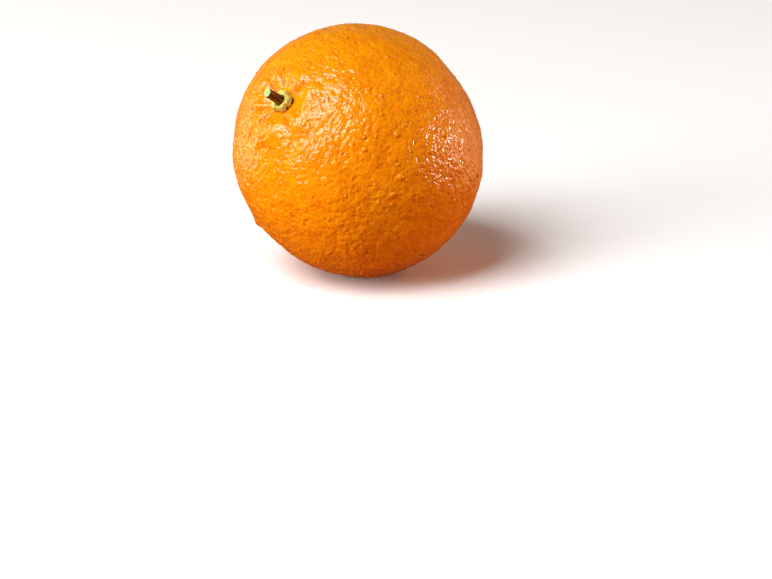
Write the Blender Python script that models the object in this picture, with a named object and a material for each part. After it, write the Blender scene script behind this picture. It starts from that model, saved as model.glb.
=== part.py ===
"""A whole orange as picked: the fruit, the calyx on its stem end and the clipped stub of its stem.

Metres, +Z up. The fruit lies on a small flat spot with its stem leaning towards -Y. The origin is
on the surface that it lies on, under the middle of the fruit. Shapes are worked out in the fruit's
own frame, whose +Z is the stem axis, and one empty leans that frame over and lifts it.
"""

import math
import random

import bmesh
import bpy
import numpy as np
from mathutils import Euler, Vector, noise

MM = 0.001

# Driving dimensions of the fruit
HALF_LENGTH = 39.9 * MM  # centre to skin along the stem axis, before the stem cavity
HALF_BREADTH = 39.9 * MM  # across the axis, the broad way
HALF_NARROW = 37.9 * MM  # across the axis, the narrow way
NARROW_TURN = math.radians(44)  # of the narrow way, round the stem axis
LEAN = Euler((math.radians(56), 0, 0))  # turns the fruit's frame over, stem towards -Y
UPRIGHT = LEAN.to_matrix().transposed() @ Vector((0, 0, 1))  # straight up in the fruit's frame
FLAT_RADIUS = 8 * MM  # of the spot that it rests on
LUMP_HEIGHT = 0.35 * MM  # slow unevenness of the whole surface
LUMPS_ACROSS = 2.4  # about how many lumps there are to a radius

# The cavity round the stem, the creases that run out of it and the knobs of the skin
MEAN_RADIUS = (HALF_LENGTH + HALF_BREADTH + HALF_NARROW) / 3
CAVITY_DEPTH = 2.5 * MM
CAVITY_REACH = 5.4 * MM
SHOULDER_HEIGHT = 0.7 * MM
SHOULDER_AT = 9.2 * MM
SHOULDER_REACH = 4.0 * MM
CREASE_START = 3.4 * MM
CREASE_FULL = 6.2 * MM  # out from the stem axis, where the creases reach their depth
CREASE_WIDTH = 0.5 * MM  # at the stem axis
CREASE_WIDENING = 0.08  # for each unit of length further out
# Each crease: its angle round the stem axis in degrees, its depth and how far out it runs
CREASES = (
    (12, 0.60 * MM, 13 * MM),
    (50, 1.45 * MM, 15 * MM),
    (84, 0.60 * MM, 12 * MM),
    (117, 1.25 * MM, 18 * MM),
    (146, 1.65 * MM, 16 * MM),
    (173, 1.25 * MM, 17 * MM),
    (190, 0.80 * MM, 15 * MM),
    (211, 1.40 * MM, 18 * MM),
    (235, 1.45 * MM, 17 * MM),
    (258, 0.75 * MM, 13 * MM),
    (312, 1.50 * MM, 16 * MM),
    (341, 0.75 * MM, 14 * MM),
)
# Each knob of the skin, or hollow where its height is below 0: its angle, its distance out, its
# height and its reach
KNOBS = (
    (78, 8.5 * MM, 0.60 * MM, 3.2 * MM),
    (130, 9.5 * MM, 0.75 * MM, 2.2 * MM),
    (158, 10.5 * MM, 1.05 * MM, 2.8 * MM),
    (199, 9.0 * MM, 0.70 * MM, 2.2 * MM),
    (224, 13.5 * MM, 0.60 * MM, 2.8 * MM),
    (275, 8.8 * MM, 1.05 * MM, 2.8 * MM),
    (252, 13.5 * MM, 0.55 * MM, 2.4 * MM),
    (330, 9.5 * MM, 0.50 * MM, 3.0 * MM),
    (30, 9.0 * MM, 0.45 * MM, 3.0 * MM),
    (59, 70 * MM, -0.42 * MM, 9 * MM),
    (77, 58.5 * MM, 0.45 * MM, 8 * MM),
    (121, 36 * MM, -0.60 * MM, 7 * MM),
    (221, 39 * MM, 0.50 * MM, 10 * MM),
    (256, 58 * MM, -0.45 * MM, 9 * MM),
    (11, 87 * MM, 0.40 * MM, 10 * MM),
    (243, 49.8 * MM, 0.80 * MM, 1.6 * MM),
)

# The scar at the blossom end
SCAR_DEPTH = 0.9 * MM
SCAR_REACH = 2.6 * MM
SCAR_TIP_HEIGHT = 0.6 * MM
SCAR_TIP_REACH = 1.0 * MM

# The pits of the rind, over the oil glands, larger than life
POINT_COUNT = 5850  # points of the skin, of which about one in four is the floor of a pit
PIT_DEPTH = 0.48 * MM
PIT_SPREAD = 0.35  # how much the pits differ in depth, as a share of it
POINT_STRAY = 0.16  # how far each point strays from its place, as a share of the spacing
SKIN_SEED = 7
STEM_CROWDING = 6.0  # how much closer the points lie round the stem, as a share of their number
STEM_CROWD_REACH = 9 * MM
SCAR_CROWDING = 2.5
SCAR_CROWD_REACH = 4 * MM
SPIRAL_STEPS = 4000
GOLDEN_ANGLE = math.pi * (3 - math.sqrt(5))

# The calyx, and the stub that stands in its socket
SEAT_GAP = 0.3 * MM  # between pieces that touch
# Each sepal: its angle round the stem axis in degrees and its length from that axis
SEPALS = (
    (18, 4.0 * MM),
    (92, 3.4 * MM),
    (164, 3.5 * MM),
    (238, 3.8 * MM),
    (308, 3.4 * MM),
)
SEPAL_REACH = max(length for _, length in SEPALS)
SEPAL_HALF_ANGLE = math.radians(30)
CALYX_WAIST = 3.15 * MM  # radius between two sepals
CALYX_STEPS = 60
COLLAR_HEIGHT = 2.3 * MM
SOCKET_FLOOR = 0.6 * MM
STUB_RADIUS = 1.55 * MM  # at its foot
STUB_TIP_RADIUS = 1.36 * MM
STUB_LENGTH = 7.6 * MM
STUB_BEND = math.radians(1.5)
STUB_BEND_TURN = math.radians(285)  # the way it bends, round the stem axis
STUB_CUT_SLOPE = 0.21  # of the clipped end
STUB_CUT_TURN = math.radians(56)  # the way the clipped end rises
STUB_STEPS = 32
BARK_RIDGES = 9
BARK_RIDGE_HEIGHT = 0.09 * MM

FRUIT_FINISH = ((0.90, 0.29, 0.012, 1), 0.36)  # colour and roughness
CALYX_FINISH = ((0.55, 0.52, 0.14, 1), 0.70)
STUB_FINISH = ((0.13, 0.055, 0.012, 1), 0.80)


def bell(distance, reach):
    """1 at no distance, falling smoothly to nothing past the reach."""
    return math.exp(-((distance / reach) ** 2))


def smooth_step(value, low, high):
    """0 below low and 1 above high, with a smooth rise between them."""
    share = min(max((value - low) / (high - low), 0), 1)
    return share * share * (3 - 2 * share)


def turn_between(a, b):
    """The angle from b to a, between minus and plus half a turn."""
    return (a - b + math.pi) % (2 * math.pi) - math.pi


def ellipsoid_radius(direction):
    """Centre to skin of the plain body, narrower one way across the stem axis than the other."""
    narrow = direction.x * math.cos(NARROW_TURN) + direction.y * math.sin(NARROW_TURN)
    broad = direction.y * math.cos(NARROW_TURN) - direction.x * math.sin(NARROW_TURN)
    along = direction.z
    return 1 / math.hypot(narrow / HALF_NARROW, broad / HALF_BREADTH, along / HALF_LENGTH)


def crease_depth(out, around):
    """Depth of the puckered creases at a distance out from the stem axis and an angle round it."""
    depth = 0
    for angle, deepest, reach in CREASES:
        aside = abs(out * turn_between(around, math.radians(angle)))
        fade = smooth_step(out, CREASE_START, CREASE_FULL)
        fade *= 1 - smooth_step(out, 0.4 * reach, reach)
        depth += deepest * fade * math.exp(-aside / (CREASE_WIDTH + CREASE_WIDENING * out))
    return depth


def knob_height(out, around):
    """Height of the skin's knobs and hollows."""
    height = 0
    for angle, knob_out, highest, reach in KNOBS:
        aside = MEAN_RADIUS * math.sin(out / MEAN_RADIUS) * turn_between(around, math.radians(angle))
        height += highest * bell(math.hypot(aside, out - knob_out), reach)
    return height


def skin_radius(direction):
    """Centre to skin in a direction of the fruit's frame, with no pits."""
    out = MEAN_RADIUS * direction.angle(Vector((0, 0, 1)))
    scar_out = MEAN_RADIUS * math.pi - out
    around = math.atan2(direction.y, direction.x)
    radius = ellipsoid_radius(direction)
    radius += LUMP_HEIGHT * noise.noise(direction * LUMPS_ACROSS)
    radius += SHOULDER_HEIGHT * bell(out - SHOULDER_AT, SHOULDER_REACH)
    radius -= CAVITY_DEPTH * bell(out, CAVITY_REACH)
    radius += knob_height(out, around) - crease_depth(out, around)
    radius -= SCAR_DEPTH * bell(scar_out, SCAR_REACH)
    radius += SCAR_TIP_HEIGHT * bell(scar_out, SCAR_TIP_REACH)
    return radius


def pit_depth(direction):
    """Depth of a pit, which fades out at the calyx, at the scar and where the fruit rests."""
    out = MEAN_RADIUS * direction.angle(Vector((0, 0, 1)))
    scar_out = MEAN_RADIUS * math.pi - out
    rest_out = MEAN_RADIUS * direction.angle(-UPRIGHT)
    fade = smooth_step(out, SEPAL_REACH, 2 * STEM_CROWD_REACH)
    fade *= smooth_step(scar_out, SCAR_TIP_REACH, 2 * SCAR_REACH)
    return PIT_DEPTH * fade * smooth_step(rest_out, FLAT_RADIUS, 1.4 * FLAT_RADIUS)


def skin_directions(draw):
    """A golden-angle spiral of points, closer round the stem and the scar, each one strayed."""
    heights = np.linspace(1, -1, SPIRAL_STEPS)
    out = MEAN_RADIUS * np.arccos(heights)
    scar_out = MEAN_RADIUS * math.pi - out
    density = 1 + STEM_CROWDING * np.exp(-((out / STEM_CROWD_REACH) ** 2))
    density += SCAR_CROWDING * np.exp(-((scar_out / SCAR_CROWD_REACH) ** 2))
    share = np.cumsum(density) / density.sum()
    directions = []
    for number in range(POINT_COUNT):
        height = float(np.interp((number + 0.5) / POINT_COUNT, share, heights))
        here = float(np.interp(height, heights[::-1], density[::-1])) / density.mean()
        stray = POINT_STRAY * math.sqrt(4 * math.pi / (POINT_COUNT * here))
        ring = math.sqrt(1 - height * height)
        turn = number * GOLDEN_ANGLE
        place = Vector((ring * math.cos(turn), ring * math.sin(turn), height))
        place += Vector([draw.uniform(-stray, stray) for _ in range(3)])
        directions.append(place.normalized())
    return directions


def named_mesh(shape, name, collection, parent, finish):
    """Turns a bmesh into a smooth-shaded object of that name, on the parent, with its material."""
    colour, roughness = finish
    mesh = bpy.data.meshes.new(name)
    bmesh.ops.recalc_face_normals(shape, faces=shape.faces)
    shape.to_mesh(mesh)
    shape.free()
    mesh.shade_smooth()
    mesh.set_sharp_from_angle(angle=math.radians(50))
    material = bpy.data.materials.new(name)
    material.use_nodes = True
    surface = material.node_tree.nodes["Principled BSDF"]
    surface.inputs["Base Color"].default_value = colour
    surface.inputs["Roughness"].default_value = roughness
    surface.inputs["Metallic"].default_value = 0
    mesh.materials.append(material)
    piece = bpy.data.objects.new(name, mesh)
    piece.parent = parent
    collection.objects.link(piece)
    return piece


def pitted_skin():
    """The rind: the hull of the skin's points, with pits sunk at points that aren't neighbours."""
    draw = random.Random(SKIN_SEED)
    shape = bmesh.new()
    for direction in skin_directions(draw):
        shape.verts.new(direction)
    bmesh.ops.convex_hull(shape, input=shape.verts)
    order = list(shape.verts)
    draw.shuffle(order)
    depths = {}
    for point in order:
        if not any(edge.other_vert(point) in depths for edge in point.link_edges):
            depths[point] = 1 + draw.uniform(-PIT_SPREAD, PIT_SPREAD)
    for point in order:
        direction = point.co.normalized()
        depth = pit_depth(direction) * depths.get(point, 0)
        point.co = direction * (skin_radius(direction) - depth)
    return shape


def cut_flat(shape):
    """Cuts the fruit level where it rests, and returns how high its centre lies above the cut."""
    lowest = min(point.co.dot(UPRIGHT) for point in shape.verts)
    centre_height = -lowest - FLAT_RADIUS**2 / (2 * MEAN_RADIUS)
    bmesh.ops.bisect_plane(
        shape,
        geom=[*shape.verts, *shape.edges, *shape.faces],
        plane_co=-centre_height * UPRIGHT,
        plane_no=UPRIGHT,
        clear_inner=True,
    )
    rim = [edge for edge in shape.edges if edge.is_boundary]
    bmesh.ops.holes_fill(shape, edges=rim, sides=0)
    return centre_height


def turned(profile, steps):
    """A closed solid spun about Z from a profile of (radius, height) that starts and ends on Z."""
    shape = bmesh.new()
    points = [shape.verts.new((radius, 0, height)) for radius, height in profile]
    edges = [shape.edges.new(pair) for pair in zip(points, points[1:])]
    bmesh.ops.spin(
        shape,
        geom=[*points, *edges],
        cent=(0, 0, 0),
        axis=(0, 0, 1),
        angle=2 * math.pi,
        steps=steps,
        use_merge=True,
    )
    bmesh.ops.remove_doubles(shape, verts=shape.verts, dist=MM / 1000)
    return shape


def calyx_reach(around):
    """Radius of the calyx at an angle round the stem: along a blunt sepal, or the waist."""
    reach = CALYX_WAIST
    for angle, length in SEPALS:
        aside = abs(turn_between(around, math.radians(angle))) / SEPAL_HALF_ANGLE
        reach += (length - CALYX_WAIST) * (1 - smooth_step(aside, 0.3, 1))
    return reach


def calyx_shape():
    """The five-pointed star: a disc of sepals that follows the skin, with a socketed collar."""
    socket = STUB_RADIUS + BARK_RIDGE_HEIGHT + SEAT_GAP
    shape = turned(
        (
            (0, 0),
            (0.45 * CALYX_WAIST, 0),
            (0.75 * CALYX_WAIST, 0),
            (0.95 * CALYX_WAIST, 0.02 * MM),
            (CALYX_WAIST, 0.15 * MM),
            (CALYX_WAIST, 0.60 * MM),
            (0.95 * CALYX_WAIST, 1.20 * MM),
            (0.90 * CALYX_WAIST, 1.80 * MM),
            (0.84 * CALYX_WAIST, COLLAR_HEIGHT),
            (socket, COLLAR_HEIGHT - 0.05 * MM),
            (socket, SOCKET_FLOOR),
            (0.5 * socket, SOCKET_FLOOR),
            (0, SOCKET_FLOOR),
        ),
        CALYX_STEPS,
    )
    for point in shape.verts:
        out = math.hypot(point.co.x, point.co.y)
        around = math.atan2(point.co.y, point.co.x)
        spread = smooth_step(out, socket, CALYX_WAIST)
        out += spread * (calyx_reach(around) - CALYX_WAIST)
        height = SEAT_GAP + point.co.z
        polar = out / MEAN_RADIUS
        direction = Vector(
            (
                math.sin(polar) * math.cos(around),
                math.sin(polar) * math.sin(around),
                math.cos(polar),
            )
        )
        point.co = direction * (skin_radius(direction) + height)
    return shape


def stub_shape():
    """The clipped stem: ridged bark, a slight taper and bend and a sloping cut across its end."""
    foot = skin_radius(Vector((0, 0, 1))) + 2 * SEAT_GAP + SOCKET_FLOOR
    heights = [share * STUB_LENGTH / 8 for share in range(9)]
    profile = [(0, 0), *((STUB_RADIUS, height) for height in heights), (0, STUB_LENGTH)]
    shape = turned(profile, STUB_STEPS)
    bend_way = Vector((math.cos(STUB_BEND_TURN), math.sin(STUB_BEND_TURN), 0))
    cut_way = Vector((math.cos(STUB_CUT_TURN), math.sin(STUB_CUT_TURN), 0))
    for point in shape.verts:
        around = math.atan2(point.co.y, point.co.x)
        share = point.co.z / STUB_LENGTH
        ridge = BARK_RIDGE_HEIGHT * math.cos(BARK_RIDGES * around + 2 * share)
        out = Vector((point.co.x, point.co.y, 0))
        if out.length:
            taper = share * (STUB_TIP_RADIUS - STUB_RADIUS)
            out *= 1 + (ridge + taper) / STUB_RADIUS
        height = foot + point.co.z + share**4 * STUB_CUT_SLOPE * out.dot(cut_way)
        aside = STUB_LENGTH * math.tan(STUB_BEND) * share**1.5
        point.co = out + bend_way * aside + Vector((0, 0, height))
    return shape


def build():
    for old in list(bpy.data.objects):
        bpy.data.objects.remove(old, do_unlink=True)
    collection = bpy.data.collections.new("orange")
    bpy.context.scene.collection.children.link(collection)
    axis = bpy.data.objects.new("stem_axis", None)
    collection.objects.link(axis)
    axis.rotation_euler = LEAN
    skin = pitted_skin()
    axis.location.z = cut_flat(skin)
    named_mesh(skin, "fruit", collection, axis, FRUIT_FINISH)
    named_mesh(calyx_shape(), "calyx", collection, axis, CALYX_FINISH)
    named_mesh(stub_shape(), "stem_stub", collection, axis, STUB_FINISH)


build()
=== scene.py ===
"""The looks of the orange: a fine peel, calyx and stem in place of the plain solids, and the drops
of water on them, on a pale floor in soft studio light.

Metres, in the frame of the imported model. As in the part's source, shapes are worked out in the
fruit's own frame, whose +Z is the stem axis, and one matrix leans that frame over.
"""

import math
import random

import bmesh
import bpy
import numpy as np
from mathutils import Euler, Matrix, Vector, kdtree, noise


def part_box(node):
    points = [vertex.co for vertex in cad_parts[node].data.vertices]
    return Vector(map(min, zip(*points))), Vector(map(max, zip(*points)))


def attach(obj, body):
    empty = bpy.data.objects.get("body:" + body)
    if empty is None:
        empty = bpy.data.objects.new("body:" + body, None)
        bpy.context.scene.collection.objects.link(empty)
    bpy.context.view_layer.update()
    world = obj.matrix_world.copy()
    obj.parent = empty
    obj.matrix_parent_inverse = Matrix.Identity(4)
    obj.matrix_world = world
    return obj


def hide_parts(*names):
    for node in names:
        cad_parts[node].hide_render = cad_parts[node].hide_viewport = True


MM = 0.001

# The fruit's form, with the values of the part's source
HALF_LENGTH = 39.9 * MM
HALF_BREADTH = 39.9 * MM
HALF_NARROW = 37.9 * MM
NARROW_TURN = math.radians(44)
LEAN = Euler((math.radians(56), 0, 0))
FLAT_RADIUS = 8 * MM
LUMP_HEIGHT = 0.35 * MM  # slow unevenness of the whole surface
LUMPS_ACROSS = 2.4  # about how many lumps there are to a radius
MEAN_RADIUS = (HALF_LENGTH + HALF_BREADTH + HALF_NARROW) / 3
CAVITY_DEPTH = 2.5 * MM
CAVITY_REACH = 5.4 * MM
SHOULDER_HEIGHT = 0.7 * MM
SHOULDER_AT = 9.2 * MM
SHOULDER_REACH = 4.0 * MM
CREASE_START = 3.4 * MM
CREASE_FULL = 6.2 * MM  # out from the stem axis, where the creases reach their depth
CREASE_WIDTH = 0.5 * MM  # at the stem axis
CREASE_WIDENING = 0.08  # for each unit of length further out
CREASE_FADE_START = 0.4  # of its reach, from where a crease fades away
# Each crease: its angle round the stem axis in degrees, its depth and how far out it runs
CREASES = (
    (12, 0.60 * MM, 13 * MM),
    (50, 1.45 * MM, 15 * MM),
    (84, 0.60 * MM, 12 * MM),
    (117, 1.25 * MM, 18 * MM),
    (146, 1.65 * MM, 16 * MM),
    (173, 1.25 * MM, 17 * MM),
    (190, 0.80 * MM, 15 * MM),
    (211, 1.40 * MM, 18 * MM),
    (235, 1.45 * MM, 17 * MM),
    (258, 0.75 * MM, 13 * MM),
    (312, 1.50 * MM, 16 * MM),
    (341, 0.75 * MM, 14 * MM),
)
# Each knob of the skin, or hollow where its height is below 0: its angle, its distance out, its
# height and its reach
KNOBS = (
    (78, 8.5 * MM, 0.60 * MM, 3.2 * MM),
    (130, 9.5 * MM, 0.75 * MM, 2.2 * MM),
    (158, 10.5 * MM, 1.05 * MM, 2.8 * MM),
    (199, 9.0 * MM, 0.70 * MM, 2.2 * MM),
    (224, 13.5 * MM, 0.60 * MM, 2.8 * MM),
    (275, 8.8 * MM, 1.05 * MM, 2.8 * MM),
    (252, 13.5 * MM, 0.55 * MM, 2.4 * MM),
    (330, 9.5 * MM, 0.50 * MM, 3.0 * MM),
    (30, 9.0 * MM, 0.45 * MM, 3.0 * MM),
    (59, 70 * MM, -0.42 * MM, 9 * MM),
    (77, 58.5 * MM, 0.45 * MM, 8 * MM),
    (121, 36 * MM, -0.60 * MM, 7 * MM),
    (221, 39 * MM, 0.50 * MM, 10 * MM),
    (256, 58 * MM, -0.45 * MM, 9 * MM),
    (11, 87 * MM, 0.40 * MM, 10 * MM),
    (243, 49.8 * MM, 0.80 * MM, 1.6 * MM),
)
SCAR_DEPTH = 0.9 * MM
SCAR_REACH = 2.6 * MM
SCAR_TIP_HEIGHT = 0.6 * MM
SCAR_TIP_REACH = 1.0 * MM

# The peel's fine relief
MESH_COUNT = 11000  # points of the skin before it is refined, which makes nine of each
MESH_STRAY = 0.12
MESH_SEED = 3
GLAND_COUNT = 15000  # sites of oil glands, some of them with none where they crowd
GLAND_STRAY = 0.28  # how far each strays from its place, as a share of the spacing
GLAND_REACH = 0.42 * MM
GLAND_DEPTH = 0.35 * MM
GLAND_DEPTH_SHARES = (-0.45, 1.4)  # of that depth, at least and at most: below 0, it stands out
GLANDS_NEAR = 4  # how many glands a place can lie in at once
GLAND_SEED = 11
STEM_CALM = (4 * MM, 12 * MM)  # out from the stem axis, where the pits grow to their full depth
CALM_DEPTH = 0.25  # of the pits' full depth, at the stem and at the blossom scar
STEM_CROWDING = 2.2  # how much closer the points of a spread lie at the stem
STEM_CROWD_REACH = 13 * MM
SPIRAL_STEPS = 4000
GOLDEN_ANGLE = math.pi * (3 - math.sqrt(5))
# Each layer of uneven ground: its height and the size of its lumps
GROUND = ((0.30 * MM, 6.0 * MM), (0.10 * MM, 2.6 * MM))

# The calyx and the stem, with the values of the part's source and finer ones of their own. Each
# sepal: its angle round the stem axis in degrees and how far out it reaches
SEPALS = (
    (18, 4.0 * MM),
    (92, 3.4 * MM),
    (164, 3.5 * MM),
    (238, 3.8 * MM),
    (308, 3.4 * MM),
)
SEPAL_HALF_ANGLE = math.radians(30)
SEPAL_BLUNTNESS = 0.3  # of its half width, where a sepal keeps its full reach
CALYX_WAIST = 3.15 * MM
CALYX_STEPS = 240
CALYX_PARTS = 6  # to each stretch of its profile
CALYX_GAP = 0.05 * MM
# Each layer of its grain: its height and the size of its lumps
CALYX_GRAIN = ((0.14 * MM, 0.8 * MM), (0.10 * MM, 0.35 * MM))
GRAIN_START = 0.3 * MM  # the height over its underside where the grain has its full height
CALYX_RAGGED = ((0.35 * MM, 0.30), (0.25 * MM, 0.12))  # its rim: how far it strays, over what turn
# Each dark stretch of the rim, partly dried edge and partly painted shade of the crevice under it:
# its angle and its half width in degrees
CALYX_DRIED_AND_SHADED = ((15, 17), (332, 7), (273, 8), (95, 10))
DRIED_SHADED_CORE = 0.7  # of its half width, where a stretch is dark all through
DRIED_SHADED_OUT = (0.93, 0.99)  # of the waist, between which a dark stretch begins
DRIED_SHADED_HEIGHT = (0.5 * MM, 0.9 * MM)  # between which it ends
COLLAR_HEIGHT = 2.3 * MM
SEAT_GAP = 0.3 * MM
SEAT_RISE = 0.5 * MM  # the height over which its gap to the skin widens to the source's
SOCKET_FLOOR = 0.6 * MM
STUB_RADIUS = 1.55 * MM
STUB_TIP_RADIUS = 1.36 * MM
STUB_LENGTH = 7.6 * MM
STUB_BEND = math.radians(1.5)
STUB_BEND_POWER = 1.5  # of the share of its length: how the bend grows
STUB_BEND_TURN = math.radians(285)
STUB_CUT_SLOPE = 0.21
STUB_CUT_POWER = 4  # of the share of its length: how the slope of the cut grows
STUB_CUT_TURN = math.radians(56)
STUB_STEPS = 120
STUB_RINGS = 40
BARK_RIDGES = 9
BARK_RIDGE_HEIGHT = 0.09 * MM
BARK_SHARES = (0.5, 0.9, 0.5)  # of that height: the even ridges, the uneven and the fine ones
BARK_TWIST = 2  # radians of a ridge's turn over the stem's length
BARK_SMOOTHING = 0.4  # the ridges' loss of height from the foot to the end
STREAK_LENGTH = 0.25  # the noise's run along the stem, as a share of its run round it
STREAK_WIDTHS = (0.28, 0.1)  # of the uneven and the fine ridges, as shares of the radius
STREAK_COLOURS = (0.4, 0.45)  # how much each of them tells in the colour
CUT_BEVEL = 0.12 * MM
CUT_EDGE = 0.93  # of the radius, inside the bevel
CUT_PAINT = (0.16 * MM, 0.06 * MM)  # below the end, between which the bark gives way to the cut

# The drops of water
DROP_COUNT = 1800
DROP_SEED = 5
DROP_RADIUS = (0.16 * MM, 0.65 * MM)
DROP_HEIGHT = 0.45  # of a drop, as a share of its radius
DROP_SMALLNESS = 2.2  # the larger, the fewer of the drops are large
DROP_STRETCH = (0.85, 1.15)  # of its radius, to one side
DROP_LEAST_HEIGHT = 3 * MM  # above the floor
DROP_DETAIL = 2
# Each large drop: its angle out from the stem axis, its angle round it and its radius
LARGE_DROPS = (
    (66, 347, 1.10 * MM),
    (68, 338, 1.15 * MM),
    (56, 5, 0.95 * MM),
    (48, 359, 0.80 * MM),
    (46, 349, 0.85 * MM),
    (65, 360, 0.70 * MM),
    (47, 13, 0.65 * MM),
    (46, 25, 0.80 * MM),
    (62, 351, 0.65 * MM),
    (75, 354, 0.70 * MM),
    (59, 14, 0.55 * MM),
    (53, 322, 0.60 * MM),
)

# The looks of the rind. A range is of the texture or the painted number from which its colour is
# worked out, and a share is how strongly that colour tells
MOTTLE_SIZE = 5 * MM
MOTTLE_RANGE = (0.38, 0.62)
# Painted shade in the gland pits: the range of the pit value over which it darkens, and how
# strongly
PIT_SHADE_RANGE = (0.35, 1.2)
PIT_SHADE_SHARE = 0.4
# Painted shade in the creases round the stem: the range of crease depth over which it darkens, and
# how strongly
CREASE_SHADE_RANGE = (0.2, 1.3)
CREASE_SHADE_SHARE = 0.4
GRAIN_SIZE = 0.7 * MM
GRAIN_SMOOTHNESS = 0.6
# Painted shade in the grain's hollows, where its distance is least: the range over which it
# darkens, and how strongly
GRAIN_SHADE_RANGE = (0.05, 0.45)
GRAIN_SHADE_SHARE = 0.5
GRAIN_RELIEF = 0.13 * MM
FLECK_SIZE = 0.45 * MM
FLECK_RANGE = (0.5, 0.75)
FLECK_SHARE = 0.8
SCAR_RANGE = (0.15, 0.6)
RIND_SURFACE = {
    "Roughness": 0.16,
    "Specular IOR Level": 0.42,
    "Subsurface Weight": 0.45,
    "Subsurface Radius": (1, 0.45, 0.15),
    "Subsurface Scale": 1.6 * MM,
}

# The looks of the calyx, the stem and the water
CALYX_MOTTLE_SIZE = 0.7 * MM
CALYX_MOTTLE_RANGE = (0.35, 0.62)
CALYX_GRAIN_SIZE = 0.25 * MM
CALYX_RELIEF = 0.1 * MM
CALYX_SURFACE = {
    "Roughness": 0.6,
    "Subsurface Weight": 0.15,
    "Subsurface Radius": (1, 0.9, 0.3),
    "Subsurface Scale": 0.6 * MM,
}
BARK_GRAIN_SIZE = 0.3 * MM
BARK_RELIEF = 0.1 * MM
BARK_SURFACE = {"Roughness": 0.65, "Specular IOR Level": 0.2}
WATER_MOTTLE_SIZE = 3 * MM
WATER_MOTTLE_RANGE = (0.4, 0.6)
WATER_SURFACE = {"Roughness": 0.05}

# Colours
PEEL_DEEP = (0.70, 0.182, 0.0002)
PEEL_BRIGHT = (0.80, 0.262, 0.0008)
# The next colour is painted shade: the darker, redder orange of the gland pits and of the grain's
# hollows
PEEL_PIT_SHADE = (0.71, 0.15, 0.0003)
PEEL_FLECK = (0.86, 0.36, 0.004)
SCAR_BROWN = (0.16, 0.075, 0.02)
# The next colour is painted shade in the creases round the stem
PEEL_CREASE_SHADE = (0.66, 0.135, 0.0)
DROP_DEEP = (0.66, 0.165, 0.001)  # of the lit peel, seen through them
DROP_COLOUR = (0.74, 0.225, 0.002)
CALYX_GREEN = (0.41, 0.35, 0.045)
CALYX_PALE = (0.80, 0.67, 0.18)
# The next colour is near-black brown, for dried edges and for painted shade in the crevice under
# the calyx's rim
CALYX_DRY_AND_SHADE = (0.05, 0.015, 0.004)
BARK_DARK = (0.030, 0.009, 0.001)
BARK_BROWN = (0.21, 0.065, 0.004)
BARK_PALE = (0.40, 0.17, 0.02)
PITH = (0.22, 0.36, 0.12)
CUT_GREEN = (0.26, 0.41, 0.11)
CUT_PALE = (0.39, 0.50, 0.25)
# The colours along the streaks of the bark, and out from the middle of the cut
BARK_STOPS = ((0.25, BARK_DARK), (0.5, BARK_BROWN), (0.8, BARK_PALE))
CUT_STOPS = ((0.0, PITH), (0.2, PITH), (0.42, CUT_PALE), (0.78, CUT_PALE), (0.95, CUT_GREEN))
FLOOR_SEEN = (0.95, 0.92, 0.93)
FLOOR_CAST = (0.52, 0.22, 0.03)  # for the light that the floor throws up onto the fruit
FLOOR_SURFACE = {"Roughness": 0.9, "Specular IOR Level": 0}
FLOOR_SIZE = 3
FLOOR_GAP = 0.2 * MM  # under the fruit
ROOM_WHITE = (1, 1, 1, 1)
ROOM_SEEN = 1
ROOM_LIGHT = 0.06  # on the fruit from the pale room around it
ROOM_GLOSS = 0.03  # of that room as mirrored in it

# The camera
CAMERA_AZIMUTH = math.radians(44.5)
CAMERA_ELEVATION = math.radians(15.9)
CAMERA_LENS = 100  # in millimetres, as the sensor's width is
SENSOR_WIDTH = 36
CAMERA_DISTANCE = 0.669
AIM_BELOW = math.radians(3.73)
AIM_RIGHT = math.radians(0.736)
CLIP_START = 0.01
CLIP_END = 20

# Each light: its name, its direction to the right, up and back from the camera's view, its
# distance from the fruit, its width and height, its power in watts and its colour
LIGHTS = (
    ("key", (-0.45, 0.62, 0.64), 2.2, 1.3, 1.3, 60, (0.95, 1, 1)),
    ("low_key", (-0.76, 0.20, 0.62), 2.2, 1.0, 0.7, 21, (0.95, 1, 1)),
    ("left", (-0.92, 0.0, 0.38), 1.8, 1.2, 0.4, 15, (1, 0.94, 0.7)),
    ("left_rim", (-0.9, 0.1, -0.42), 1.6, 0.8, 0.9, 9, (1, 0.88, 0.7)),
    ("strip", (0.992, 0.085, 0.017), 1.6, 0.10, 0.32, 14, (1, 0.70, 0.58)),
    ("rim", (0.88, 0.1, -0.46), 1.6, 0.8, 0.9, 5.5, (1, 0.62, 0.3)),
    ("high_rim", (0.75, 0.6, -0.25), 2.0, 0.35, 0.35, 2.5, (1, 0.7, 0.45)),
    ("backdrop", (0, 0.25, -1), 1.6, 3.2, 1.3, 5, (1, 0.64, 0.32)),
)
MATT_LIGHT = "left"  # the one that isn't mirrored in the fruit


def bell(distance, reach):
    """1 at no distance, falling smoothly to nothing past the reach."""
    return np.exp(-((distance / reach) ** 2))


def smooth_step(value, low, high):
    """0 below low and 1 above high, with a smooth rise between them."""
    share = np.clip((value - low) / (high - low), 0, 1)
    return share * share * (3 - 2 * share)


def turn_between(a, b):
    """The angle from b to a, between minus and plus half a turn."""
    return (a - b + math.pi) % (2 * math.pi) - math.pi


def noise_at(points, lump):
    """Smooth noise between about -1 and 1 at each point, with lumps of that size."""
    return np.array([noise.noise(Vector(point) / lump) for point in points])


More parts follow.
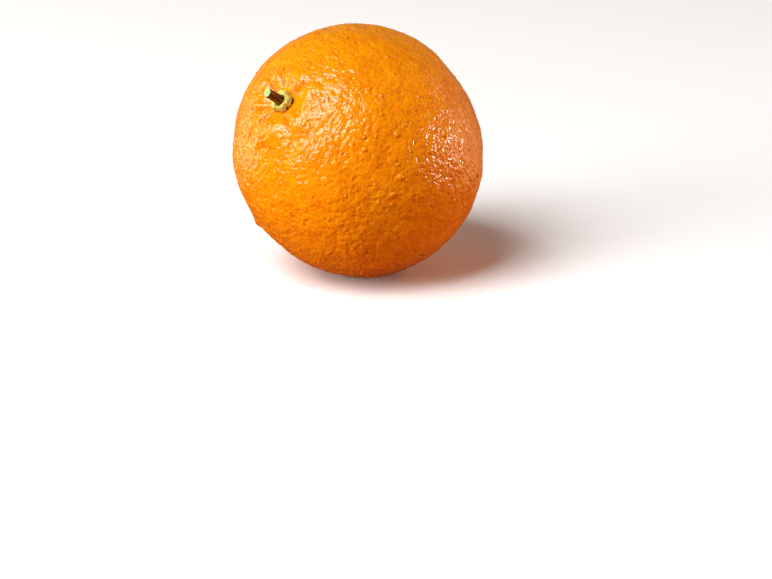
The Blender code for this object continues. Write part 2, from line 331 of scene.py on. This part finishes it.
def ellipsoid_radius(directions):
    """Centre to surface of the plain ellipsoid with the three half diameters."""
    x, y, along = directions.T
    narrow = x * math.cos(NARROW_TURN) + y * math.sin(NARROW_TURN)
    broad = y * math.cos(NARROW_TURN) - x * math.sin(NARROW_TURN)
    squares = (narrow / HALF_NARROW) ** 2 + (broad / HALF_BREADTH) ** 2 + (along / HALF_LENGTH) ** 2
    return 1 / np.sqrt(squares)


def crease_depth(out, around):
    """How deep the creases cut, at a distance out over the skin and an angle round the stem."""
    depth = np.zeros(len(out))
    rise = smooth_step(out, CREASE_START, CREASE_FULL)
    for angle, deepest, reach in CREASES:
        aside = np.abs(out * turn_between(around, math.radians(angle)))
        fade = rise * (1 - smooth_step(out, CREASE_FADE_START * reach, reach))
        depth += deepest * fade * np.exp(-aside / (CREASE_WIDTH + CREASE_WIDENING * out))
    return depth


def knob_height(out, around):
    """How high the knobs stand, and how low the hollows, at such a place."""
    height = np.zeros(len(out))
    for angle, knob_out, highest, reach in KNOBS:
        aside = MEAN_RADIUS * np.sin(out / MEAN_RADIUS) * turn_between(around, math.radians(angle))
        height += highest * bell(np.hypot(aside, out - knob_out), reach)
    return height


def distance_out(directions):
    """Distance over the skin from the stem axis."""
    return MEAN_RADIUS * np.arccos(np.clip(directions[:, 2], -1, 1))


def skin_radius(directions):
    """Centre to skin in each direction, with no pits, as in the part's source."""
    out = distance_out(directions)
    scar_out = MEAN_RADIUS * math.pi - out
    around = np.arctan2(directions[:, 1], directions[:, 0])
    radius = ellipsoid_radius(directions)
    radius += LUMP_HEIGHT * noise_at(directions, 1 / LUMPS_ACROSS)
    radius += SHOULDER_HEIGHT * bell(out - SHOULDER_AT, SHOULDER_REACH)
    radius -= CAVITY_DEPTH * bell(out, CAVITY_REACH)
    radius += knob_height(out, around) - crease_depth(out, around)
    radius -= SCAR_DEPTH * bell(scar_out, SCAR_REACH)
    radius += SCAR_TIP_HEIGHT * bell(scar_out, SCAR_TIP_REACH)
    return radius


def centre_height(directions):
    """How high the fruit's centre lies, as in the part's source, from its skin with no pits."""
    up = np.array(LEAN.to_matrix())[2]
    lowest = (directions * skin_radius(directions)[:, None] @ up).min()
    return -lowest - FLAT_RADIUS**2 / (2 * MEAN_RADIUS)


def spread(count, stray, draw):
    """Directions in a golden-angle spiral, closer round the stem, each strayed at random.

    Also returns how closely they lie at each, where 1 is as far from the stem.
    """
    heights = np.linspace(1, -1, SPIRAL_STEPS)
    out = MEAN_RADIUS * np.arccos(heights)
    density = 1 + STEM_CROWDING * bell(out, STEM_CROWD_REACH)
    share = np.cumsum(density) / density.sum()
    number = np.arange(count)
    height = np.interp((number + 0.5) / count, share, heights)
    here = np.interp(-height, -heights, density)
    spacing = np.sqrt(4 * math.pi * density.mean() / (count * here))
    ring = np.sqrt(1 - height**2)
    turn = number * GOLDEN_ANGLE
    places = np.stack((ring * np.cos(turn), ring * np.sin(turn), height), axis=1)
    places += draw.uniform(-1, 1, places.shape) * (stray * spacing)[:, None]
    places /= np.linalg.norm(places, axis=1)[:, None]
    return places, here


def gland_sites():
    """Where the oil glands lie, and how deep each one's pit is as a share of the usual depth."""
    draw = np.random.default_rng(GLAND_SEED)
    places, crowding = spread(GLAND_COUNT, GLAND_STRAY, draw)
    awake = draw.uniform(size=GLAND_COUNT) < 1 / crowding
    depths = draw.uniform(*GLAND_DEPTH_SHARES, GLAND_COUNT)
    return places[awake], depths[awake]


def skin_mesh():
    """A ball of even triangles, smaller round the stem, as directions from the fruit's centre."""
    draw = np.random.default_rng(MESH_SEED)
    shape = bmesh.new()
    for place in spread(MESH_COUNT, MESH_STRAY, draw)[0]:
        shape.verts.new(place)
    bmesh.ops.convex_hull(shape, input=shape.verts)
    refine(shape)
    refine(shape)
    bmesh.ops.recalc_face_normals(shape, faces=shape.faces)
    directions = coordinates(shape)
    return shape, directions / np.linalg.norm(directions, axis=1)[:, None]


def refine(shape):
    """Splits each triangle at its middle and turns the old edges, so that they join the middles."""
    spans = list(shape.edges)
    bmesh.ops.poke(shape, faces=shape.faces)
    bmesh.ops.rotate_edges(shape, edges=spans, use_ccw=False)


def peel_piece():
    """The rind, with pits over the oil glands in uneven ground."""
    shape, directions = skin_mesh()
    pits = pit_share(directions, *gland_sites())
    out = distance_out(directions)
    around = np.arctan2(directions[:, 1], directions[:, 0])
    scar_out = MEAN_RADIUS * math.pi - out
    full = smooth_step(out, *STEM_CALM) * smooth_step(scar_out, SCAR_TIP_REACH, 2 * SCAR_REACH)
    height = -GLAND_DEPTH * pits * (CALM_DEPTH + (1 - CALM_DEPTH) * full)
    for high, lump in GROUND:
        height += high * noise_at(directions * MEAN_RADIUS, lump)
    points = directions * (skin_radius(directions) + height)[:, None]
    place = Matrix.Translation((0, 0, centre_height(directions))) @ LEAN.to_matrix().to_4x4()
    points = points @ np.array(place.to_3x3()).T + np.array(place.translation)
    points[:, 2] = np.maximum(points[:, 2], 0)
    piece = new_piece("peel", shape, points, Matrix(), peel_material())
    paint(piece, "pit", pits)
    paint(piece, "crease", crease_depth(out, around) / MM)
    paint(piece, "scar", bell(scar_out, SCAR_TIP_REACH))
    return piece, place


def pit_share(directions, sites, depths):
    """How far each direction lies into the pits of the glands nearest to it."""
    tree = kdtree.KDTree(len(sites))
    for number, site in enumerate(sites):
        tree.insert(site * MEAN_RADIUS, number)
    tree.balance()
    pits = np.zeros(len(directions))
    for number, direction in enumerate(directions):
        for _, site, distance in tree.find_n(Vector(direction) * MEAN_RADIUS, GLANDS_NEAR):
            pits[number] += depths[site] * math.exp(-((distance / GLAND_REACH) ** 2))
    return pits


def turned(profile, steps):
    """A surface spun about Z from a profile of (radius, height) that starts and ends on Z."""
    shape = bmesh.new()
    points = [shape.verts.new((radius, 0, height)) for radius, height in profile]
    edges = [shape.edges.new(pair) for pair in zip(points, points[1:])]
    bmesh.ops.spin(
        shape,
        geom=[*points, *edges],
        cent=(0, 0, 0),
        axis=(0, 0, 1),
        angle=2 * math.pi,
        steps=steps,
        use_merge=True,
    )
    bmesh.ops.remove_doubles(shape, verts=shape.verts, dist=MM / 1000)
    bmesh.ops.recalc_face_normals(shape, faces=shape.faces)
    return shape


def finer(profile, parts):
    """The same profile with each of its stretches cut into equal parts."""
    points = [profile[0]]
    for start, end in zip(profile, profile[1:]):
        for part in range(1, parts + 1):
            share = part / parts
            points.append(tuple(a + (b - a) * share for a, b in zip(start, end)))
    return points


def coordinates(shape):
    """A bmesh's points as one row each."""
    return np.array([point.co for point in shape.verts])


def new_piece(name, shape, points, place, material):
    """Turns a bmesh into a smooth-shaded piece with those points, put in place by a matrix."""
    mesh = bpy.data.meshes.new(name)
    shape.to_mesh(mesh)
    shape.free()
    mesh.vertices.foreach_set("co", points.astype(np.float32).ravel())
    mesh.transform(place)
    return placed(name, mesh, material)


def placed(name, mesh, material):
    """A smooth-shaded object of a mesh, in the scene."""
    mesh.update()
    mesh.shade_smooth()
    mesh.materials.append(material)
    piece = bpy.data.objects.new(name, mesh)
    bpy.context.scene.collection.objects.link(piece)
    return piece


def paint(piece, name, values):
    """Stores a number for each point of a piece, for its material to read."""
    attribute = piece.data.attributes.new(name, "FLOAT", "POINT")
    attribute.data.foreach_set("value", values.astype(np.float32))


def calyx_reach(around):
    """Radius of the calyx at an angle round the stem: along a blunt sepal, or the waist."""
    reach = np.full(len(around), CALYX_WAIST)
    for angle, length in SEPALS:
        aside = np.abs(turn_between(around, math.radians(angle))) / SEPAL_HALF_ANGLE
        reach += (length - CALYX_WAIST) * (1 - smooth_step(aside, SEPAL_BLUNTNESS, 1))
    return reach


def calyx_profile(socket):
    """Half of a section through the calyx: a collar with a socket, on a disc that ends thin."""
    return (
        (0, 0),
        (0.75 * CALYX_WAIST, 0),
        (0.95 * CALYX_WAIST, 0.02 * MM),
        (CALYX_WAIST, 0.15 * MM),
        (CALYX_WAIST, 0.60 * MM),
        (0.95 * CALYX_WAIST, 1.20 * MM),
        (0.90 * CALYX_WAIST, 1.80 * MM),
        (0.84 * CALYX_WAIST, COLLAR_HEIGHT),
        (0.70 * CALYX_WAIST, COLLAR_HEIGHT),
        (socket, COLLAR_HEIGHT - 0.1 * MM),
        (socket, SOCKET_FLOOR),
        (0, SOCKET_FLOOR),
    )


def dried_and_crevice_shade(out, around, height):
    """How dark the calyx is painted at each place, from 0 to 1: along some stretches of its lower
    rim, for dried edges and for painted shade in the crevice under the rim.
    """
    dry_and_shade = np.zeros(len(out))
    for angle, wide in CALYX_DRIED_AND_SHADED:
        aside = np.abs(turn_between(around, math.radians(angle)))
        half = math.radians(wide)
        dry_and_shade = np.maximum(dry_and_shade, 1 - smooth_step(aside, DRIED_SHADED_CORE * half, half))
    at_rim = smooth_step(out / CALYX_WAIST, *DRIED_SHADED_OUT)
    return dry_and_shade * at_rim * (1 - smooth_step(height, *DRIED_SHADED_HEIGHT))


def calyx_piece(place):
    """The calyx: a ragged, granular star that follows the skin, with a socketed collar."""
    socket = STUB_RADIUS + BARK_RIDGE_HEIGHT + CALYX_GAP
    shape = turned(finer(calyx_profile(socket), CALYX_PARTS), CALYX_STEPS)
    x, y, height = coordinates(shape).T
    out = np.hypot(x, y)
    around = np.arctan2(y, x)
    dry_and_shade = dried_and_crevice_shade(out, around, height)
    reach = calyx_reach(around)
    ring = np.stack((np.cos(around), np.sin(around), np.zeros(len(out))), axis=1)
    for stray, turn in CALYX_RAGGED:
        reach += stray * noise_at(ring, turn)
    out += smooth_step(out, socket, CALYX_WAIST) * (reach - CALYX_WAIST)
    polar = out / MEAN_RADIUS
    directions = np.stack(
        (np.sin(polar) * np.cos(around), np.sin(polar) * np.sin(around), np.cos(polar)), axis=1
    )
    rise = height + CALYX_GAP + (SEAT_GAP - CALYX_GAP) * smooth_step(height, 0, SEAT_RISE)
    points = directions * (skin_radius(directions) + rise)[:, None]
    grain = np.zeros(len(points))
    for high, lump in CALYX_GRAIN:
        grain += high * noise_at(points, lump)
    points += directions * (grain * smooth_step(height, 0, GRAIN_START))[:, None]
    piece = new_piece("calyx_star", shape, points, place, calyx_material())
    # Dark along stretches of the lower rim: dried edges, and painted shade of the crevice under it
    paint(piece, "dry_and_shade", dry_and_shade)
    return piece


def stem_piece(place):
    """The clipped stem: ridged bark, a slight taper and bend and a sloping cut at its end."""
    profile = (
        (0, 0),
        (STUB_RADIUS, 0),
        (STUB_RADIUS, STUB_LENGTH - CUT_BEVEL),
        (CUT_EDGE * STUB_RADIUS, STUB_LENGTH),
        (0, STUB_LENGTH),
    )
    shape = turned(finer(profile, STUB_RINGS), STUB_STEPS)
    points = coordinates(shape)
    x, y, height = points.T
    around = np.arctan2(y, x)
    share = height / STUB_LENGTH
    radius = np.hypot(x, y)
    streaks = np.stack((np.cos(around), np.sin(around), STREAK_LENGTH * share), axis=1)
    uneven, fine = (noise_at(streaks, width) for width in STREAK_WIDTHS)
    even = np.cos(BARK_RIDGES * around + BARK_TWIST * share)
    ridge = sum(part * high for part, high in zip(BARK_SHARES, (even, uneven, fine)))
    ridge = ridge * BARK_RIDGE_HEIGHT * (1 - BARK_SMOOTHING * share)
    widen = 1 + (ridge + share * (STUB_TIP_RADIUS - STUB_RADIUS)) / STUB_RADIUS
    bend_way = np.array((math.cos(STUB_BEND_TURN), math.sin(STUB_BEND_TURN), 0))
    cut_way = np.array((math.cos(STUB_CUT_TURN), math.sin(STUB_CUT_TURN), 0))
    flat = np.stack((x * widen, y * widen, np.zeros(len(x))), axis=1)
    foot = skin_radius(np.array([[0, 0, 1.0]]))[0] + 2 * SEAT_GAP + SOCKET_FLOOR
    aside = STUB_LENGTH * math.tan(STUB_BEND) * share**STUB_BEND_POWER
    slope = share**STUB_CUT_POWER * STUB_CUT_SLOPE * (flat @ cut_way)
    rise = np.stack((np.zeros(len(x)), np.zeros(len(x)), foot + height + slope), axis=1)
    piece = new_piece(
        "stem", shape, flat + aside[:, None] * bend_way + rise, place, stem_material()
    )
    start, full = CUT_PAINT
    paint(piece, "cut", smooth_step(height, STUB_LENGTH - start, STUB_LENGTH - full))
    paint(piece, "out", radius / STUB_RADIUS)
    uneven_colour, fine_colour = STREAK_COLOURS
    paint(piece, "streak", 0.5 + uneven_colour * uneven + fine_colour * fine)
    return piece


def drop_places():
    """A direction from the fruit's middle and a radius for each drop."""
    draw = random.Random(DROP_SEED)
    places = []
    for _ in range(DROP_COUNT):
        height = draw.uniform(-1, 1)
        around = draw.uniform(0, 2 * math.pi)
        ring = math.sqrt(1 - height * height)
        least, most = DROP_RADIUS
        size = least * (most / least) ** (draw.random() ** DROP_SMALLNESS)
        places.append((Vector((ring * math.cos(around), ring * math.sin(around), height)), size))
    for out, around, size in LARGE_DROPS:
        direction = Vector((0, 0, 1))
        direction.rotate(Euler((0, math.radians(out), math.radians(around))))
        places.append((LEAN.to_matrix() @ direction, size))
    return places


def ball():
    """A ball's points and its triangles, as one row each."""
    shape = bmesh.new()
    bmesh.ops.create_icosphere(shape, subdivisions=DROP_DETAIL, radius=1)
    points = coordinates(shape)
    corners = np.array([[point.index for point in face.verts] for face in shape.faces])
    shape.free()
    return points, corners


def drops_piece(peel, middle):
    """Drops of water of many sizes, each a flattened ball sunk halfway into the peel."""
    draw = random.Random(DROP_SEED)
    round_points, round_corners = ball()
    points = []
    corners = []
    for direction, size in drop_places():
        hit, place, normal, _ = peel.ray_cast(middle, direction)
        if not hit or place.z < DROP_LEAST_HEIGHT:
            continue
        turn = normal.to_track_quat("Z", "Y").to_matrix()
        spin = Matrix.Rotation(draw.uniform(0, 2 * math.pi), 3, "Z")
        wide = size * draw.uniform(*DROP_STRETCH)
        stretch = Matrix.Diagonal((wide, size, size * DROP_HEIGHT))
        corners.append(round_corners + len(points) * len(round_points))
        points.append(round_points @ np.array(turn @ spin @ stretch).T + np.array(place))
    mesh = bpy.data.meshes.new("water_drops")
    mesh.from_pydata(np.concatenate(points), [], np.concatenate(corners).tolist())
    return placed("water_drops", mesh, water_material())


def principled(name):
    """A new material, with its node tree and its Principled shader."""
    material = bpy.data.materials.new(name)
    material.use_nodes = True
    tree = material.node_tree
    return material, tree, tree.nodes["Principled BSDF"]


def texture(tree, kind, size, **settings):
    """A procedural texture in the object's own coordinates, with features of that size."""
    node = tree.nodes.new(kind)
    place = tree.nodes.new("ShaderNodeTexCoord")
    tree.links.new(place.outputs["Object"], node.inputs["Vector"])
    node.inputs["Scale"].default_value = 1 / size
    for setting, value in settings.items():
        node.inputs[setting].default_value = value
    return node


def ramp(tree, value, stops):
    """Colours along a value, from stops of (position, colour)."""
    node = tree.nodes.new("ShaderNodeValToRGB")
    stops = list(stops)
    for position, _ in stops[1:-1]:
        node.color_ramp.elements.new(position)
    for element, (position, colour) in zip(node.color_ramp.elements, stops):
        element.position = position
        element.color = (*colour, 1)
    tree.links.new(value, node.inputs["Fac"])
    return node.outputs["Color"]


def blend(tree, factor, first, second):
    """Mixes two colours by a factor. Each colour is a socket or three numbers."""
    node = tree.nodes.new("ShaderNodeMix")
    node.data_type = "RGBA"
    tree.links.new(factor, node.inputs["Factor"])
    for socket, colour in ((node.inputs["A"], first), (node.inputs["B"], second)):
        if isinstance(colour, tuple):
            socket.default_value = (*colour, 1)
        else:
            tree.links.new(colour, socket)
    return node.outputs["Result"]


def between(tree, value, low, high, least=0, most=1):
    """A value between low and high, brought to lie between least and most."""
    node = tree.nodes.new("ShaderNodeMapRange")
    tree.links.new(value, node.inputs["Value"])
    node.inputs["From Min"].default_value = low
    node.inputs["From Max"].default_value = high
    node.inputs["To Min"].default_value = least
    node.inputs["To Max"].default_value = most
    return node.outputs["Result"]


def painted(tree, name):
    """The number stored for each point under that name."""
    node = tree.nodes.new("ShaderNodeAttribute")
    node.attribute_name = name
    return node.outputs["Fac"]


def roughen(tree, surface, height, depth):
    """Fine relief from a height, of that depth, on the shader's normal."""
    node = tree.nodes.new("ShaderNodeBump")
    node.inputs["Distance"].default_value = depth
    tree.links.new(height, node.inputs["Height"])
    tree.links.new(node.outputs["Normal"], surface.inputs["Normal"])


def set_surface(surface, settings):
    """Sets the shader's own sockets to values that are the same all over the piece."""
    for socket, value in settings.items():
        surface.inputs[socket].default_value = value


def peel_material():
    """The rind: mottled orange, with painted shade (a darker, redder orange) in its pits, creases
    and the grain's hollows, and paler flecks.
    """
    material, tree, surface = principled("rind")
    mottle = texture(tree, "ShaderNodeTexNoise", MOTTLE_SIZE, Detail=6, Roughness=0.75)
    ground = ramp(tree, mottle.outputs["Fac"], zip(MOTTLE_RANGE, (PEEL_DEEP, PEEL_BRIGHT)))
    # Painted shade: darker and redder in the gland pits
    in_pit_shade = between(tree, painted(tree, "pit"), *PIT_SHADE_RANGE, 0, PIT_SHADE_SHARE)
    # Painted shade: darker and redder in the creases
    in_crease_shade = between(tree, painted(tree, "crease"), *CREASE_SHADE_RANGE, 0, CREASE_SHADE_SHARE)
    grain = texture(tree, "ShaderNodeTexVoronoi", GRAIN_SIZE)
    grain.feature = "SMOOTH_F1"
    grain.inputs["Smoothness"].default_value = GRAIN_SMOOTHNESS
    # Painted shade: darker and redder in the hollows of the grain relief
    in_grain_shade = between(tree, grain.outputs["Distance"], *GRAIN_SHADE_RANGE, GRAIN_SHADE_SHARE, 0)
    flecks = texture(tree, "ShaderNodeTexNoise", FLECK_SIZE, Detail=1)
    on_fleck = between(tree, flecks.outputs["Fac"], *FLECK_RANGE, 0, FLECK_SHARE)
    flecked = blend(tree, on_fleck, blend(tree, in_grain_shade, ground, PEEL_PIT_SHADE), PEEL_FLECK)
    skin = blend(tree, in_crease_shade, blend(tree, in_pit_shade, flecked, PEEL_PIT_SHADE), PEEL_CREASE_SHADE)
    on_scar = between(tree, painted(tree, "scar"), *SCAR_RANGE)
    tree.links.new(blend(tree, on_scar, skin, SCAR_BROWN), surface.inputs["Base Color"])
    roughen(tree, surface, grain.outputs["Distance"], GRAIN_RELIEF)
    set_surface(surface, RIND_SURFACE)
    return material


def calyx_material():
    """The calyx: mottled pale yellow-green, dark brown along stretches of its lower rim, for dried
    edges and for painted shade in the crevice under it.
    """
    material, tree, surface = principled("calyx")
    mottle = texture(tree, "ShaderNodeTexNoise", CALYX_MOTTLE_SIZE, Detail=3)
    green = ramp(tree, mottle.outputs["Fac"], zip(CALYX_MOTTLE_RANGE, (CALYX_GREEN, CALYX_PALE)))
    colour = blend(tree, painted(tree, "dry_and_shade"), green, CALYX_DRY_AND_SHADE)
    tree.links.new(colour, surface.inputs["Base Color"])
    grain = texture(tree, "ShaderNodeTexNoise", CALYX_GRAIN_SIZE, Detail=3)
    roughen(tree, surface, grain.outputs["Fac"], CALYX_RELIEF)
    set_surface(surface, CALYX_SURFACE)
    return material


def stem_material():
    """The stem: streaked brown bark, and green and pale rings on its cut."""
    material, tree, surface = principled("stem_bark")
    bark = ramp(tree, painted(tree, "streak"), BARK_STOPS)
    rings = ramp(tree, painted(tree, "out"), CUT_STOPS)
    colour = blend(tree, painted(tree, "cut"), bark, rings)
    tree.links.new(colour, surface.inputs["Base Color"])
    grain = texture(tree, "ShaderNodeTexNoise", BARK_GRAIN_SIZE, Detail=3)
    roughen(tree, surface, grain.outputs["Fac"], BARK_RELIEF)
    set_surface(surface, BARK_SURFACE)
    return material


def water_material():
    """The drops: smooth, and of the mottled colour of the peel that they magnify."""
    material, tree, surface = principled("water")
    mottle = texture(tree, "ShaderNodeTexNoise", WATER_MOTTLE_SIZE)
    colour = ramp(tree, mottle.outputs["Fac"], zip(WATER_MOTTLE_RANGE, (DROP_DEEP, DROP_COLOUR)))
    tree.links.new(colour, surface.inputs["Base Color"])
    set_surface(surface, WATER_SURFACE)
    return material


def soft_light(aim, name, right_up_back, distance, width, height, power, colour):
    """A rectangular soft light in a direction from the fruit, facing it."""
    data = bpy.data.lights.new(name, "AREA")
    data.shape = "RECTANGLE"
    data.size = width
    data.size_y = height
    data.energy = power
    data.color = colour
    light = bpy.data.objects.new(name, data)
    axes = view_axes()
    direction = (axes @ Vector(right_up_back)).normalized()
    light.location = aim + direction * distance
    light.rotation_mode = "QUATERNION"
    light.rotation_quaternion = direction.to_track_quat("Z", "Y")
    light.visible_glossy = name != MATT_LIGHT
    bpy.context.scene.collection.objects.link(light)


def view_axes():
    """The matrix whose columns are the view's right, up and back."""
    right = Vector((math.cos(CAMERA_AZIMUTH), math.sin(CAMERA_AZIMUTH), 0))
    back = Vector((math.sin(CAMERA_AZIMUTH), -math.cos(CAMERA_AZIMUTH), 0))
    back = back * math.cos(CAMERA_ELEVATION) + Vector((0, 0, math.sin(CAMERA_ELEVATION)))
    return Matrix((right, back.cross(right), back)).transposed()


def camera(aim):
    """The camera, turned a little below and to the right of the fruit's middle."""
    data = bpy.data.cameras.new("camera")
    data.lens = CAMERA_LENS
    data.sensor_width = SENSOR_WIDTH
    cam = bpy.data.objects.new("camera", data)
    axes = view_axes()
    cam.rotation_mode = "QUATERNION"
    turn = Euler((-AIM_BELOW, -AIM_RIGHT, 0)).to_quaternion()
    cam.rotation_quaternion = axes.to_quaternion() @ turn
    cam.location = aim + axes.col[2] * CAMERA_DISTANCE
    data.clip_start = CLIP_START
    data.clip_end = CLIP_END
    bpy.context.scene.collection.objects.link(cam)
    bpy.context.scene.camera = cam


def split_rays(nodes, links, kind, others, these):
    """One value for a kind of ray and another, a number or a socket, for all others."""
    ray = nodes.new("ShaderNodeLightPath").outputs[kind]
    split = nodes.new("ShaderNodeMix")
    links.new(ray, split.inputs["Factor"])
    split.inputs["B"].default_value = these
    if isinstance(others, (int, float)):
        split.inputs["A"].default_value = others
    else:
        links.new(others, split.inputs["A"])
    return split.outputs["Result"]


def stage():
    """The pale floor, and the pale room around it."""
    bpy.ops.mesh.primitive_plane_add(size=FLOOR_SIZE)
    floor = bpy.context.object
    floor.name = "floor"
    material, tree, surface = principled("floor")
    ray = tree.nodes.new("ShaderNodeLightPath").outputs["Is Camera Ray"]
    tree.links.new(blend(tree, ray, FLOOR_CAST, FLOOR_SEEN), surface.inputs["Base Color"])
    set_surface(surface, FLOOR_SURFACE)
    floor.data.materials.append(material)
    floor.location.z = -FLOOR_GAP
    floor.visible_glossy = False
    world = bpy.data.worlds.new("studio")
    world.use_nodes = True
    nodes, links = world.node_tree.nodes, world.node_tree.links
    backdrop = nodes["Background"]
    backdrop.inputs["Color"].default_value = ROOM_WHITE
    glossy = split_rays(nodes, links, "Is Glossy Ray", ROOM_LIGHT, ROOM_GLOSS)
    room = split_rays(nodes, links, "Is Camera Ray", glossy, ROOM_SEEN)
    links.new(room, backdrop.inputs["Strength"])
    bpy.context.scene.world = world
    bpy.context.scene.view_settings.view_transform = "Standard"


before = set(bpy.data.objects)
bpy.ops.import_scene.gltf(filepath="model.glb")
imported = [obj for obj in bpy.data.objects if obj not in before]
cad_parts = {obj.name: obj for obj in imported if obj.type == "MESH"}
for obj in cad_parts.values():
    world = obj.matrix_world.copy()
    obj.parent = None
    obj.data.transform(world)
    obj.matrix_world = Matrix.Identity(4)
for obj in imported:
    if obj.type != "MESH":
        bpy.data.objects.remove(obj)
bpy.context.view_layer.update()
lowest, highest = (Vector(corner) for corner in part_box("fruit"))
middle = (lowest + highest) / 2
peel, place = peel_piece()
calyx = calyx_piece(place)
stem = stem_piece(place)
drops = drops_piece(peel, middle)
for piece, node, finish in (
    (peel, "fruit", "rind"),
    (calyx, "calyx", "calyx"),
    (stem, "stem_stub", "stem_bark"),
):
    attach(piece, "root")
    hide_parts(node)
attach(drops, "root")
stage()
camera(middle)
for light in LIGHTS:
    soft_light(middle, *light)
